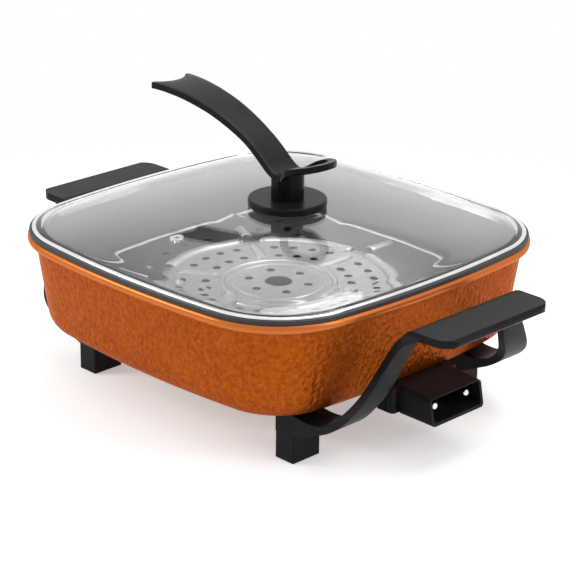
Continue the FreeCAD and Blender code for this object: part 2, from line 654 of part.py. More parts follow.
def steam_rack():
    """Pressed plate with a turned-down rim, beads and round holes."""
    skin = RACK_SHEET
    half = inner_half(LEDGE_Z) - RACK_GAP
    side = SIDE_RADIUS - (LIP_HALF - half)
    slope0 = LEDGE_Z + skin
    under = RACK_TOP - skin
    step = RACK_STEP
    low = bowed_solid(half, RACK_CORNER, side, LEDGE_Z, slope0)
    foot_wire = bowed_wire(half, RACK_CORNER, side, slope0)
    top_wire = bowed_wire(half - step, RACK_CORNER - step, side - step, RACK_TOP)
    outer = Part.makeLoft([foot_wire, top_wire], True, True)
    in_low = bowed_wire(half - skin, RACK_CORNER - skin, side - skin, LEDGE_Z - PAST / 2.0)
    in_high = bowed_wire(half - skin - step, RACK_CORNER - skin - step, side - skin - step, under)
    inner = Part.makeLoft([in_low, in_high], True, True)
    plate = joined([low, outer])
    above = block(-half, half, -half, half, under, RACK_TOP + 2.0 * BEAD_R)
    for spine in rack_spines():
        plate = plate.fuse(bead(BEAD_R, spine).common(above))
    plate = plate.cut(inner)
    for spine in rack_spines():
        plate = plate.cut(bead(BEAD_R - RACK_SHEET, spine))
    low = under - 2.0 * BEAD_R
    high = RACK_TOP + 2.0 * BEAD_R
    cuts = [rod(0, 0, low, high, CENTRE_HOLE_R)]
    for r, turn in rack_holes():
        a = math.radians(turn)
        cuts.append(rod(r * math.cos(a), r * math.sin(a), low, high, SMALL_HOLE_R))
    return plate.cut(cuts).removeSplitter()


def lid_levels():
    """Heights of the lid's layers: gasket, rim's lower lip, glass and rim's upper lip."""
    rim0 = LIP_TOP + GASKET_BASE
    glass0 = rim0 + RIM_SHEET
    glass1 = glass0 + GLASS_EDGE
    return rim0, glass0, glass1, glass1 + RIM_SHEET


def dome_solid(drop):
    """Solid under the dome's skin, lowered by drop."""
    glass1 = lid_levels()[2] - drop
    base = RIM_HALF - RIM_LIP - DOME_MARGIN
    k = base / DOME_BASE
    kz = DOME_HEIGHT / DOME[-1][1]
    wires = [like_lip_wire(base, glass1)]
    wires += [bowed_wire(k * h, k * c, k * s, glass1 + kz * rise) for h, rise, c, s in DOME]
    return Part.makeLoft(wires, True, False)


def surface_height(solid, x, y):
    """Height of a solid's top over a point."""
    line = Part.makeLine(V(x, y, 0), V(x, y, 2.0 * LIP_TOP))
    return solid.common(line).BoundBox.ZMax


def lid_glass():
    """Domed glass with a flat edge, before its holes."""
    glass0, glass1 = lid_levels()[1:3]
    edge = like_lip(RIM_HALF - RIM_SHEET - GLASS_GAP, glass0, glass1)
    return joined([edge, dome_solid(0.0)]).cut(dome_solid(GLASS_DROP))


def vent_eyelet(height):
    """Steel eyelet with a flange on each side of the glass, set square to the dome."""
    under = -GLASS_DROP - VENT_SLACK
    parts = [rod(0, 0, 0.0, VENT_FLANGE, VENT_FLANGE_R),
             rod(0, 0, under - VENT_FLANGE, VENT_FLANGE, VENT_TUBE_R),
             rod(0, 0, under - VENT_FLANGE, under, VENT_FLANGE_R)]
    eyelet = joined(parts)
    bore = rod(0, 0, under - VENT_FLANGE - PAST, VENT_FLANGE + PAST, VENT_BORE_R)
    eyelet = eyelet.cut(bore)
    deep = 3.0 * PAST
    room = joined([rod(0, 0, 0.0, deep, VENT_FLANGE_R), rod(0, 0, under - PAST, PAST, VENT_TUBE_R),
                   rod(0, 0, under - deep, under, VENT_FLANGE_R)])
    for shape in (eyelet, room):
        shape.rotate(V(0, 0, 0), V(1, 0, 0), VENT_TILT)
        shape.translate(V(VENT_X, VENT_Y, height - VENT_SET))
    return eyelet, room


def skirt_half():
    """Half width of the rim's skirt outside, clear of the pan's mouth."""
    return inner_half(LIP_TOP) - SKIRT_GAP


def lid_rim():
    """Steel channel folded round the glass's edge, with a skirt that centres the lid."""
    rim0, glass0, glass1, rim1 = lid_levels()
    skirt_inner = skirt_half() - RIM_SHEET
    body = like_lip(RIM_HALF, rim0, rim1)
    top = [e for e in body.Edges if e.BoundBox.ZMin > rim1 - 0.01]
    body = body.makeFillet(RIM_ROUNDING, top)
    skirt = like_lip(skirt_half(), LIP_TOP - SKIRT_DEPTH, glass0)
    body = joined([body, skirt]).cut(like_lip(skirt_inner, LIP_TOP - SKIRT_DEPTH - PAST, glass0 + PAST))
    body = body.cut(like_lip(RIM_HALF - RIM_LIP, glass0, rim1 + PAST))
    return body.cut(like_lip(RIM_HALF - RIM_SHEET, glass0, glass1))


def lid_gasket():
    """Soft seal between rim and lip, with an upturned edge."""
    rim0 = lid_levels()[0]
    outer = RIM_HALF + GASKET_EDGE
    flat = lip_ring(skirt_half(), outer, LIP_TOP, rim0)
    edge = lip_ring(RIM_HALF, outer, LIP_TOP, rim0 + GASKET_LIP)
    return joined([flat, edge])


def knob_levels():
    """Heights at the knob: glass underside, glass top, disc underside and disc top."""
    top = lid_levels()[2] + DOME_HEIGHT
    disc0 = top + SEAL_THICKNESS
    return top - GLASS_DROP, top, disc0, disc0 + DISC_THICKNESS


def disc_seal():
    """Soft washer between the disc and the glass."""
    top, disc0 = knob_levels()[1:3]
    hole = rod(KNOB_X, 0, top - PAST, disc0 + PAST, LID_HOLE_R)
    return rod(KNOB_X, 0, top, disc0, SEAL_R).cut(hole)


def knob_disc():
    """Guard disc under the handle's post."""
    disc0, disc1 = knob_levels()[2:]
    disc = rod(KNOB_X, 0, disc0, disc1, DISC_R)
    rims = [e for e in disc.Edges if e.BoundBox.ZLength < 0.01]
    disc = disc.makeFillet(DISC_EDGE, rims)
    return disc.cut(rod(KNOB_X, 0, disc0 - PAST, disc1 + PAST, LID_HOLE_R))


def lid_washer():
    """Steel washer under the glass."""
    under = knob_levels()[0]
    low = under - LID_WASHER
    return rod(KNOB_X, 0, low, under, LID_WASHER_R).cut(
        rod(KNOB_X, 0, low - PAST, under + PAST, LID_SCREW_R + SCREW_CLEARANCE))


def lid_screw():
    """Screw from inside the lid up into the post's insert."""
    under = knob_levels()[0]
    disc1 = knob_levels()[3]
    seat = under - LID_WASHER
    low = seat - LID_SCREW_HEAD
    shank = rod(KNOB_X, 0, seat - LID_SCREW_HEAD / 4.0, disc1 + INSERT_LENGTH - PAST, LID_SCREW_R)
    head = rod(KNOB_X, 0, low, seat, LID_SCREW_HEAD_R)
    rims = [e for e in head.Edges if e.BoundBox.ZMax < low + 0.01]
    head = head.makeFillet(LID_SCREW_ROUNDING, rims)
    wide = LID_SCREW_HEAD_R + PAST
    slot = block(KNOB_X - wide, KNOB_X + wide, -LID_SLOT_WIDTH / 2.0, LID_SLOT_WIDTH / 2.0,
                 low - PAST, low + LID_SLOT_DEPTH)
    return joined([head, shank]).cut(slot)


def post_insert():
    """Brass thread insert moulded into the post."""
    disc1 = knob_levels()[3]
    tube = rod(KNOB_X, 0, disc1, disc1 + INSERT_LENGTH, INSERT_R)
    return tube.cut(rod(KNOB_X, 0, disc1 - PAST, disc1 + INSERT_LENGTH + PAST, LID_SCREW_R))


def arm_top():
    """The arm's top curve between its tip and the ring's far side."""
    disc1 = knob_levels()[3]
    tip = (ARM_TIP_X + PAST, disc1 + ARM_RISE)
    return fitted(ARM_TOP_CURVE, tip, (RING_X + RING_R + RING_PAST, disc1 + RING_RISE))


def arm_offset(depth):
    """The arm's top curve moved down square to itself."""
    points = []
    curve = arm_top()
    for i, (x, z) in enumerate(curve):
        x0, z0 = curve[max(i - 1, 0)]
        x1, z1 = curve[min(i + 1, len(curve) - 1)]
        length = math.hypot(x1 - x0, z1 - z0)
        points.append((x + depth * (z1 - z0) / length, z - depth * (x1 - x0) / length))
    return points


def arm_side_form():
    """Arm and ring seen from the front: one band of even thickness."""
    y = -RING_R - PAST
    top = [V(x, y, z) for x, z in arm_top()]
    low = [V(x, y, z) for x, z in reversed(arm_offset(ARM_THICKNESS))]
    edges = [spline(top)] + chain([top[-1], low[0]]) + [spline(low)] + chain([low[-1], top[0]])
    return Part.Face(Part.Wire(edges)).extrude(V(0, -2.0 * y, 0))


def arm_plan_form():
    """Arm and ring seen from above: a tapering arm with a hollow tip and a round loop."""
    z = LIP_TOP
    height = knob_levels()[3] + ARM_RISE + PAST - z
    corners = [V(ARM_TIP_X, -ARM_TIP_HALF, z), V(ARM_MID_X, -ARM_MID_HALF, z),
               V(RING_X, -ARM_MID_HALF, z), V(RING_X, ARM_MID_HALF, z),
               V(ARM_MID_X, ARM_MID_HALF, z), V(ARM_TIP_X, ARM_TIP_HALF, z)]
    arm = Part.Face(Part.makePolygon(corners + corners[:1])).extrude(V(0, 0, height))
    notch_x = ARM_TIP_X + ARM_NOTCH_DEPTH - ARM_NOTCH_R
    arm = arm.cut(rod(notch_x, 0, z - PAST, z + height + PAST, ARM_NOTCH_R))
    ring = rod(RING_X, 0, z, z + height, RING_R)
    hole = rod(RING_X, 0, z - PAST, z + height + PAST, RING_HOLE_R)
    return arm.fuse(ring).cut(hole)


def post_form():
    """Post under the arm, cut off inside the arm's thickness."""
    disc1 = knob_levels()[3]
    y = -POST_R - PAST
    middle = [(x, z) for x, z in arm_offset(ARM_THICKNESS / 2.0) if abs(x - KNOB_X) < POST_R * 2.0]
    points = [V(x, y, z) for x, z in middle]
    low = [V(points[-1].x, y, disc1 - PAST), V(points[0].x, y, disc1 - PAST)]
    edges = [spline(points)] + chain([points[-1]] + low + [points[0]])
    below = Part.Face(Part.Wire(edges)).extrude(V(0, -2.0 * y, 0))
    return rod(KNOB_X, 0, disc1, disc1 + ARM_RISE, POST_R).common(below)


def lid_handle():
    """Post, swept arm and ring loop in one moulding."""
    disc1 = knob_levels()[3]
    arm = arm_side_form().common(arm_plan_form())
    handle = joined([arm, post_form()])
    return handle.cut(rod(KNOB_X, 0, disc1 - PAST, disc1 + INSERT_LENGTH, INSERT_R))


def mirrored_x(shape):
    """Copy on the other side of the pan."""
    return shape.mirror(V(0, 0, 0), V(1, 0, 0))


def build():
    """Every sub-part under its node name."""
    element = heating_element()
    pan = pan_body(element)
    glass = lid_glass()
    eyelet, room = vent_eyelet(surface_height(glass, VENT_X, VENT_Y))
    under, top = knob_levels()[:2]
    glass = glass.cut(room).cut(rod(KNOB_X, 0, under - PAST, top + PAST, LID_HOLE_R))
    right = side_handle()
    names = ("foot_front_right", "foot_back_right", "foot_front_left", "foot_back_left")
    parts = {
        "pan_body": pan,
        "heating_element": element,
        "terminal_pins": terminal_pins(),
        "pin_insulators": pin_insulators(),
        "probe_tube": probe_tube(),
        "terminal_block": terminal_block(pan),
        "socket_housing": socket_housing(),
        "socket_screws": socket_screws(),
        "handle_right": right,
        "handle_left": mirrored_x(right),
        "foot_screws": foot_screws(),
        "steam_rack": steam_rack(),
        "lid_glass": glass,
        "lid_rim": lid_rim(),
        "lid_gasket": lid_gasket(),
        "vent_eyelet": eyelet,
        "knob_disc": knob_disc(),
        "disc_seal": disc_seal(),
        "lid_handle": lid_handle(),
        "post_insert": post_insert(),
        "lid_washer": lid_washer(),
        "lid_screw": lid_screw(),
    }
    for name, (x, y) in zip(names, feet_places()):
        parts[name] = foot(x, y)
    return parts


os.makedirs("parts", exist_ok=True)
for node, shape in build().items():
    shape.exportStep("parts/" + node + ".step")
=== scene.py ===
import math

import bmesh
import bpy
from mathutils import Matrix, Vector

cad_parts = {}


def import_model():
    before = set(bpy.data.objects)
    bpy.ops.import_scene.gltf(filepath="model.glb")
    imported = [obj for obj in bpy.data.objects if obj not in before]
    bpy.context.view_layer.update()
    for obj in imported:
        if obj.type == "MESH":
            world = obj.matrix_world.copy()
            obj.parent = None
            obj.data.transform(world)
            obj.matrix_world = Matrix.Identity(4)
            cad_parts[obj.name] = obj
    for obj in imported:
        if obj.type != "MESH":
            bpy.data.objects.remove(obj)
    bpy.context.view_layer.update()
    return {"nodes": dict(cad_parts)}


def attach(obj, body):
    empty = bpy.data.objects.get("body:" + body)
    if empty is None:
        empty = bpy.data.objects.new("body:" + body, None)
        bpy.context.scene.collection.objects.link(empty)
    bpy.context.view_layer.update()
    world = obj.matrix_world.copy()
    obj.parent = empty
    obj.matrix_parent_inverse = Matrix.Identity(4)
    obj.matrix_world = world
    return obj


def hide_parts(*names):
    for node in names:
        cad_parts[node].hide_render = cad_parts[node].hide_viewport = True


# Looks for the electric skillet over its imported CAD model

MM = 0.001

# Camera, solved from the photograph, in metres and degrees
CAMERA_PLACE = (1.05040, -1.04320, 0.65430)
CAMERA_AZIMUTH = 44.962
CAMERA_ELEVATION = 21.406
CAMERA_ROLL = 0.782
CAMERA_LENS = 132.37
SENSOR = 36.0
CLIP_END = 20.0

# Lamps, in metres and watts: name, place, height aimed at, width and height, power
LAMPS = [("key", (-1.15, -1.25, 0.9), 0.08, (0.6, 0.8), 13.0),
         ("top", (0.1, 0.6, 1.7), 0.10, (1.4, 1.0), 16.0),
         ("side", (1.6, 0.5, 0.9), 0.08, (0.4, 0.7), 7.0)]

# Surround's brightness by height, from straight below to straight above
SURROUND = [(0.0, 0.15), (0.50, 0.25), (0.62, 0.45), (0.80, 0.80), (1.0, 0.90)]

# Floor, in metres, with the glow that keeps it near white
FLOOR_COLOUR = (0.90, 0.90, 0.90, 1)
FLOOR_LIFT = 0.38
FLOOR_FADE = (0.26, 0.62)
FLOOR_RADIUS = 1.2
FLOOR_STEPS = 96
FLOOR_DROP = 0.0004

# Outline shared with the CAD model, in mm
LIP_HALF = 158.3
LIP_CORNER = 72.5
SIDE_RADIUS = 816.0
SIDE_STEPS = 32
CORNER_STEPS = 32

# Pan, in mm. A cut makes an inner corner tighter than the wall's.
LIP_TOP = 118.5
LIP_ROUNDING = 2.6
LIP_SHELF = 1.5
LIP_SHELF_RISE = 0.05
LIP_STEPS = 6
WALL_TOP = 112.0
WALL_HALF = 151.5
WALL_CORNER = 62.0
WALL_SIDE = SIDE_RADIUS - (LIP_HALF - WALL_HALF)
WALL_DRAFT = 0.14
WALL_THICKNESS = 3.8
WALL_STEPS = 8
CORNER_FOLLOW = 0.9
BASE_Z = 40.0
BASE_ROUNDING = 20.0
BASE_STEPS = 14
BASE_RINGS = (0.3, 0.7, 0.95)
MOUTH_ROUNDING = 1.2
MOUTH_STEPS = 4
MOUTH_CORNER_CUT = 3.0
INNER_CORNER_DROP = 6.0
LEDGE_Z = 71.0
LEDGE_WIDTH = 3.2
LEDGE_FILLET = 0.4
LEDGE_FALL = 0.2
LEDGE_CORNER_CUT = 9.2
NOSE_ROUNDING = 0.8
NOSE_STEPS = 4
WELL_CORNER_CUT = 12.0
WELL_DRAFT = 0.05
WELL_ROUNDING = 9.0
WELL_STEPS = 8
FLOOR_Z = 45.0
FLOOR_CORNER_CUT = 14.0

# Underside of the pan, in mm. Edges sharper than an angle in radians are rounded.
UNDER_TOP = 42.0
ELEMENT_RIB = (83.5, 96.5)
ELEMENT_RIB_STEPS = 96
RIB_BOTTOM = 36.6
LUG_REACH = (90.0, 121.4)
LUG_HALF_Y = 23.5
BOSS_PLACES = [(x, y) for x in (-107.45, 107.45) for y in (-85.8, 85.8)]
BOSS_R = 8.0
BOSS_BOTTOM = 37.0
BOSS_STEPS = 48
UNDER_ROUNDING = 0.6
UNDER_SHARP = 1.0

# Lid's glass, in mm. The dome rises through half width, rise, corner and side radius.
GLASS_EDGE_HALF = 154.3
GLASS_LOW = 120.0
GLASS_HIGH = 122.8
GLASS_DROP = 3.6
GLASS_CHAMFER = 0.6
GLASS_FOOT = 0.8
GLASS_UNDER_CLEAR = 0.3
DOME = [(147.0, 0.0, 61.2, 804.0), (138.0, 4.6, 62.0, 500.0), (118.0, 9.8, 66.0, 300.0),
        (90.0, 14.3, 62.0, 150.0), (62.0, 17.0, 52.0, 80.0), (40.0, 17.8, 36.0, 44.0)]
DOME_STEPS = 14
CROWN_RINGS = (0.7, 0.4, 0.1)
CROWN_RISE = 0.12

# Lid's rim and seal, in mm
RIM_HALF = 155.0
RIM_INNER = 151.8
RIM_LOW = 119.5
RIM_TOP = 123.3
RIM_SHEET = 0.5
RIM_LOW_FOLD = 0.45
RIM_TOP_FOLD = 0.9
RIM_INNER_FOLD = 0.5
FOLD_STEPS = 4
RIM_TOP_STEPS = 6
GLASS_PLAY = 0.05
SKIRT_HALF = 146.0
SKIRT_LOW = 114.5
SEAL_HALF = 157.0
SEAL_TOP = 121.6
SEAL_LOW_ROUNDING = 0.5
SEAL_TOP_ROUNDING = 0.7
SEAL_TOP_STEPS = 5
SEAL_BEVEL = (0.09, 0.3)
SEAL_SIDE_PLAY = 0.06
SEAL_SKIRT_PLAY = 0.05
SEAL_PLAY = 0.02

# Rack's pressed relief, in mm and degrees
RACK_TOP = 77.7
RIB_COUNT = 6
FIRST_RIB = 30.0
RING_R = 88.1
RING_GAP = 7.0
RING_HALF_WIDTH = 5.2
RING_HEIGHT = 2.3
RIB_HALF_WIDTH = 4.4
RIB_HEIGHT = 2.0
RIB_REACHES = [(46.0, 78.0), (98.0, 126.0)]
HUB_RINGS = [(42.0, 2.2, 1.3), (34.0, 1.2, 0.7)]
EDGE_BEADS = [(132.2, 45.8, 77.7), (138.4, 52.0, 72.7)]
EDGE_HALF_WIDTH = 1.9
EDGE_HEIGHT = 1.2
BEAD_STEPS = 8
BEAD_SINK = 0.15
BEAD_SPACING = 2.0
BEAD_TAPER = 4.0
BEAD_TIP = 0.02
ARC_STEPS = 8

# Ribs on the terminal block's ends, in mm
BLOCK_RIBS = (137.0, 141.5, 146.0)
BLOCK_END_Y = 34.0
BLOCK_RIB_SIZE = (1.6, 1.4, 15.0)
BLOCK_RIB_Z = 38.5
BLOCK_RIB_ROUNDING = 0.5

# Edge rounding on CAD nodes, in mm and degrees, and its weld in metres
BEVEL_STEPS = 3
HANDLE_SOFTNESS = 1.6
BLOCK_SOFTNESS = 0.5
SOFT_ANGLE = 38.0
WELD_REACH = 1e-6

# Angles past which edges stay sharp, in degrees
PAN_CREASE = 40.0
LID_CREASE = 35.0
RELIEF_CREASE = 60.0

# Where finishes and painted light change, in metres: height on the pan outside, where the lip is smooth and
# painted lighter, and inside, where shade is painted deeper down; radius on the rack, painted lit inside
# the ring and dark outside it
LIP_SMOOTH_AND_SHEEN_BLEND = (0.1112, 0.1126)
COATING_SHADE_BLEND = (0.070, 0.118)
RACK_FINISH_AND_SHADE_BLEND = (0.0835, 0.0915)

FEET = ["foot_" + end + "_" + side for side in ("right", "left") for end in ("front", "back")]
SIDE_HANDLES = ["handle_right", "handle_left"]
BLOCKS = ["terminal_block", "socket_housing"]


# Shader graphs

def set_inputs(node, values):
    """Values on a node's sockets, with underscores for spaces in their names."""
    for key, value in values.items():
        node.inputs[key.replace("_", " ")].default_value = value


def new_node(tree, kind, **values):
    """Shader node with values set on its sockets."""
    node = tree.nodes.new("ShaderNode" + kind)
    set_inputs(node, values)
    return node


def material(name, **values):
    """New Principled material with values set on its sockets."""
    made = bpy.data.materials.new(name)
    made.use_nodes = True
    shader = made.node_tree.nodes["Principled BSDF"]
    set_inputs(shader, values)
    return made, made.node_tree, shader


def texture(tree, kind, scale, stretch=(1, 1, 1), **values):
    """Texture node fed with object coordinates."""
    place = new_node(tree, "TexCoord")
    mapping = new_node(tree, "Mapping", Scale=stretch)
    node = new_node(tree, kind, Scale=scale, **values)
    tree.links.new(place.outputs["Object"], mapping.inputs["Vector"])
    tree.links.new(mapping.outputs["Vector"], node.inputs["Vector"])
    return node


def ramp(tree, source, stops):
    """Colour ramp over a socket. Each stop is a place and a grey or colour."""
    node = new_node(tree, "ValToRGB")
    elements = node.color_ramp.elements
    while len(elements) < len(stops):
        elements.new(0.5)
    for element, (place, colour) in zip(elements, stops):
        rgb = (colour,) * 3 if isinstance(colour, float) else colour
        element.position = place
        element.color = rgb + (1,)
    tree.links.new(source, node.inputs["Fac"])
    return node.outputs["Color"]


def tinted(tree, shader, source, dark, light, low=0.3, high=0.7):
    """Base colour from dark to light over a socket."""
    tree.links.new(ramp(tree, source, [(low, dark), (high, light)]), shader.inputs["Base Color"])


def bump(tree, shader, source, strength, distance, before=None):
    """Bump from a height socket, after an earlier one where given."""
    node = new_node(tree, "Bump", Strength=strength, Distance=distance)
    tree.links.new(source, node.inputs["Height"])
    if before:
        tree.links.new(before, node.inputs["Normal"])
    tree.links.new(node.outputs["Normal"], shader.inputs["Normal"])
    return node.outputs["Normal"]


def span(tree, source, low, high):
    """0 where a socket is at or below low and 1 where it is at or above high."""
    node = new_node(tree, "MapRange", From_Min=low, From_Max=high)
    tree.links.new(source, node.inputs["Value"])
    return node


def height_mask(tree, reach):
    """0 below one height of the object and 1 above another, in metres."""
    place = new_node(tree, "TexCoord")
    split = new_node(tree, "SeparateXYZ")
    tree.links.new(place.outputs["Object"], split.inputs["Vector"])
    return span(tree, split.outputs["Z"], *reach).outputs["Result"]


def length_of(tree, source):
    """Length of a vector socket."""
    node = new_node(tree, "VectorMath")
    node.operation = "LENGTH"
    tree.links.new(source, node.inputs[0])
    return node.outputs["Value"]


def radius_mask(tree, reach):
    """0 inside one radius about the upright axis and 1 outside another, in metres."""
    place = new_node(tree, "TexCoord")
    flat = new_node(tree, "VectorMath")
    flat.operation = "MULTIPLY"
    flat.inputs[1].default_value = (1, 1, 0)
    tree.links.new(place.outputs["Object"], flat.inputs[0])
    return span(tree, length_of(tree, flat.outputs["Vector"]), *reach).outputs["Result"]


def combine(tree, operation, a, b):
    """Result of a Math node on a socket and another socket or number."""
    node = new_node(tree, "Math")
    node.operation = operation
    tree.links.new(a, node.inputs[0])
    if isinstance(b, float):
        node.inputs[1].default_value = b
    else:
        tree.links.new(b, node.inputs[1])
    return node.outputs["Value"]


def mix_colour(tree, factor, a, b):
    """Blend from colour a to colour b by a socket."""
    node = new_node(tree, "Mix")
    node.data_type = "RGBA"
    tree.links.new(factor, node.inputs["Factor"])
    for value, socket in ((a, node.inputs[6]), (b, node.inputs[7])):
        if isinstance(value, tuple):
            socket.default_value = value + (1,)
        else:
            tree.links.new(value, socket)
    return node.outputs[2]


def copper_enamel():
    """Hammered copper-orange enamel that turns smooth on the lip, where a lighter copper is painted on as
    sheen.
    """
    made, tree, shader = material("copper_enamel", Metallic=0.6, Specular_IOR_Level=0.2,
                                  Specular_Tint=(1.0, 0.50, 0.22, 1))
    cells = texture(tree, "TexVoronoi", 330.0, (1.0, 1.0, 0.75), Randomness=1.0)
    cells.feature = "SMOOTH_F1"
    patches = texture(tree, "TexNoise", 330.0, (1.0, 1.0, 0.8), Detail=3.0, Roughness=0.6)
    clouds = texture(tree, "TexNoise", 14.0, Detail=3.0, Roughness=0.6)
    tint = ramp(tree, clouds.outputs["Fac"], [(0.3, (0.32, 0.062, 0.004)), (0.7, (0.40, 0.082, 0.006))])
    fleck = ramp(tree, patches.outputs["Fac"], [(0.36, (0.18, 0.030, 0.002)), (0.64, (0.50, 0.112, 0.010))])
    share = ramp(tree, cells.outputs["Distance"], [(0.2, 0.25), (0.7, 0.65)])
    lip = height_mask(tree, LIP_SMOOTH_AND_SHEEN_BLEND)
    # Painted sheen: the smooth lip gets a lighter copper than the wall
    colour = mix_colour(tree, lip, mix_colour(tree, share, tint, fleck), (0.55, 0.155, 0.040))
    tree.links.new(colour, shader.inputs["Base Color"])
    tree.links.new(ramp(tree, lip, [(0.0, 0.42), (1.0, 0.30)]), shader.inputs["Roughness"])
    depth = ramp(tree, lip, [(0.0, 1.0), (1.0, 0.06)])
    first = bump(tree, shader, combine(tree, "MULTIPLY", cells.outputs["Distance"], depth), 0.9, 0.0014)
    bump(tree, shader, combine(tree, "MULTIPLY", patches.outputs["Fac"], depth), 0.8, 0.0013, first)
    return made


def grey_nonstick():
    """Grey coating inside the pan, with painted shade deeper down and painted light towards the mouth,
    where it turns lighter.
    """
    made, tree, shader = material("grey_nonstick", Metallic=0.35, Roughness=0.36)
    grain = texture(tree, "TexNoise", 900.0, Detail=2.0)
    wear = texture(tree, "TexNoise", 9.0, Detail=4.0)
    # Painted shade: the coating deeper in the pan gets a dark grey, whose tone the noise varies at random
    low = ramp(tree, wear.outputs["Fac"], [(0.3, (0.20, 0.205, 0.21)), (0.7, (0.26, 0.265, 0.27))])
    # Painted light: the colour turns light grey towards the mouth
    colour = mix_colour(tree, height_mask(tree, COATING_SHADE_BLEND), low, (0.74, 0.74, 0.73))
    tree.links.new(colour, shader.inputs["Base Color"])
    bump(tree, shader, grain.outputs["Fac"], 0.15, 0.0003)
    return made


def rack_sheet():
    """Pressed stainless sheet, satin inside its raised ring and polished outside it, painted a lit light
    grey inside and a dark painted reflection outside.
    """
    made, tree, shader = material("rack_sheet", Metallic=1.0)
    outer = radius_mask(tree, RACK_FINISH_AND_SHADE_BLEND)
    grain = texture(tree, "TexNoise", 260.0, (1.0, 0.08, 1.0), Detail=3.0)
    # Painted light: the satin part inside the ring gets a lit, lighter steel colour
    satin = ramp(tree, grain.outputs["Fac"], [(0.35, (0.46, 0.46, 0.46)), (0.65, (0.54, 0.54, 0.54))])
    # Painted reflection: the polished part outside the ring is painted dark grey
    polished = ramp(tree, grain.outputs["Fac"],
                    [(0.35, (0.12, 0.122, 0.125)), (0.65, (0.17, 0.173, 0.176))])
    tree.links.new(mix_colour(tree, outer, satin, polished), shader.inputs["Base Color"])
    tree.links.new(ramp(tree, outer, [(0.0, 0.42), (1.0, 0.24)]), shader.inputs["Roughness"])
    bump(tree, shader, grain.outputs["Fac"], 0.05, 0.0001)
    return made


def bakelite(name, roughness, grain_strength):
    """Moulded black phenolic with a fine satin grain."""
    made, tree, shader = material(name, Specular_IOR_Level=0.09)
    grain = texture(tree, "TexNoise", 1500.0, Detail=2.0)
    broad = texture(tree, "TexNoise", 60.0, Detail=3.0)
    tinted(tree, shader, broad.outputs["Fac"], (0.007, 0.007, 0.0073), (0.012, 0.012, 0.0124))
    rough = ramp(tree, broad.outputs["Fac"], [(0.3, roughness - 0.05), (0.7, roughness + 0.05)])
    tree.links.new(rough, shader.inputs["Roughness"])
    bump(tree, shader, grain.outputs["Fac"], grain_strength, 0.0002)
    return made


def metal(name, colour, roughness, scale, strength, stretch=(1, 1, 1)):
    """Metal with a fine grain, drawn out along one direction where stretched."""
    made, tree, shader = material(name, Metallic=1.0)
    grain = texture(tree, "TexNoise", scale, stretch, Detail=3.0)
    dark = tuple(c * 0.88 for c in colour)
    tinted(tree, shader, grain.outputs["Fac"], dark, colour, 0.35, 0.65)
    rough = ramp(tree, grain.outputs["Fac"], [(0.3, roughness * 0.8), (0.7, roughness * 1.25)])
    tree.links.new(rough, shader.inputs["Roughness"])
    bump(tree, shader, grain.outputs["Fac"], strength, 0.0001)
    return made


def clear_glass():
    """Tempered glass with a faint roller wave."""
    made, tree, shader = material("clear_glass", Roughness=0.0, IOR=1.5, Transmission_Weight=1.0,
                                  Base_Color=(0.97, 0.985, 0.98, 1))
    wave = texture(tree, "TexNoise", 9.0, Detail=1.0)
    bump(tree, shader, wave.outputs["Fac"], 0.012, 0.002)
    return made


def matt(name, roughness, scale, dark, light, strength):
    """Matt moulded material with a fine grain."""
    made, tree, shader = material(name, Roughness=roughness)
    grain = texture(tree, "TexNoise", scale, Detail=2.0)
    tinted(tree, shader, grain.outputs["Fac"], dark, light)
    bump(tree, shader, grain.outputs["Fac"], strength, 0.0002)
    return made


# Pieces lofted through the bowed-square outline

def outline(half, corner, side):
    """Points of a bowed square, in mm, anticlockwise from the -Y end of its +X side."""
    shift = half - side
    reach = side - corner
    centre = (shift + math.sqrt(max(0.0, 2.0 * reach * reach - shift * shift))) / 2.0
    lean = math.atan2(centre, centre - shift)
    sweep = math.pi / 2.0 - 2.0 * lean
    side_angles = [lean * (2.0 * i / SIDE_STEPS - 1.0) for i in range(SIDE_STEPS)]
    corner_angles = [lean + sweep * i / CORNER_STEPS for i in range(CORNER_STEPS)]
    quarter = [(shift + side * math.cos(a), side * math.sin(a)) for a in side_angles]
    quarter += [(centre + corner * math.cos(a), centre + corner * math.sin(a)) for a in corner_angles]
    points = []
    for turn in range(4):
        c, s = math.cos(turn * math.pi / 2.0), math.sin(turn * math.pi / 2.0)
        points += [(x * c - y * s, x * s + y * c) for x, y in quarter]
    return points


def parallel(half, z):
    """Profile point whose outline runs parallel to the pan's lip."""
    inset = LIP_HALF - half
    return (half, LIP_CORNER - inset, SIDE_RADIUS - inset, z)


def arc_points(cx, cz, r, a0, a1, steps):
    """Points of an arc in a profile, angles in degrees."""
    angles = [math.radians(a0 + (a1 - a0) * i / steps) for i in range(steps + 1)]
    return [(cx + r * math.cos(a), cz + r * math.sin(a)) for a in angles]


def placed(name, mesh, materials):
    """Smooth object in the scene from a finished mesh."""
    mesh.polygons.foreach_set("use_smooth", [True] * len(mesh.polygons))
    for made in materials:
        mesh.materials.append(made)
    mesh.update()
    obj = bpy.data.objects.new(name, mesh)
    bpy.context.scene.collection.objects.link(obj)
    return obj


def built_piece(name, built, made):
    """Object from an open bmesh, which is freed."""
    mesh = bpy.data.meshes.new(name)
    built.to_mesh(mesh)
    built.free()
    return placed(name, mesh, [made])


def crease(obj, degrees):
    """Sharp edges where faces meet at more than an angle."""
    mesh = obj.data
    normals = [p.normal for p in mesh.polygons]
    users = {}
    for p in mesh.polygons:
        for key in p.edge_keys:
            users.setdefault(key, []).append(p.index)
    limit = math.cos(math.radians(degrees))
    for e in mesh.edges:
        pair = users.get(tuple(sorted(e.vertices)), [])
        if len(pair) == 2 and normals[pair[0]].dot(normals[pair[1]]) < limit:
            e.use_edge_sharp = True


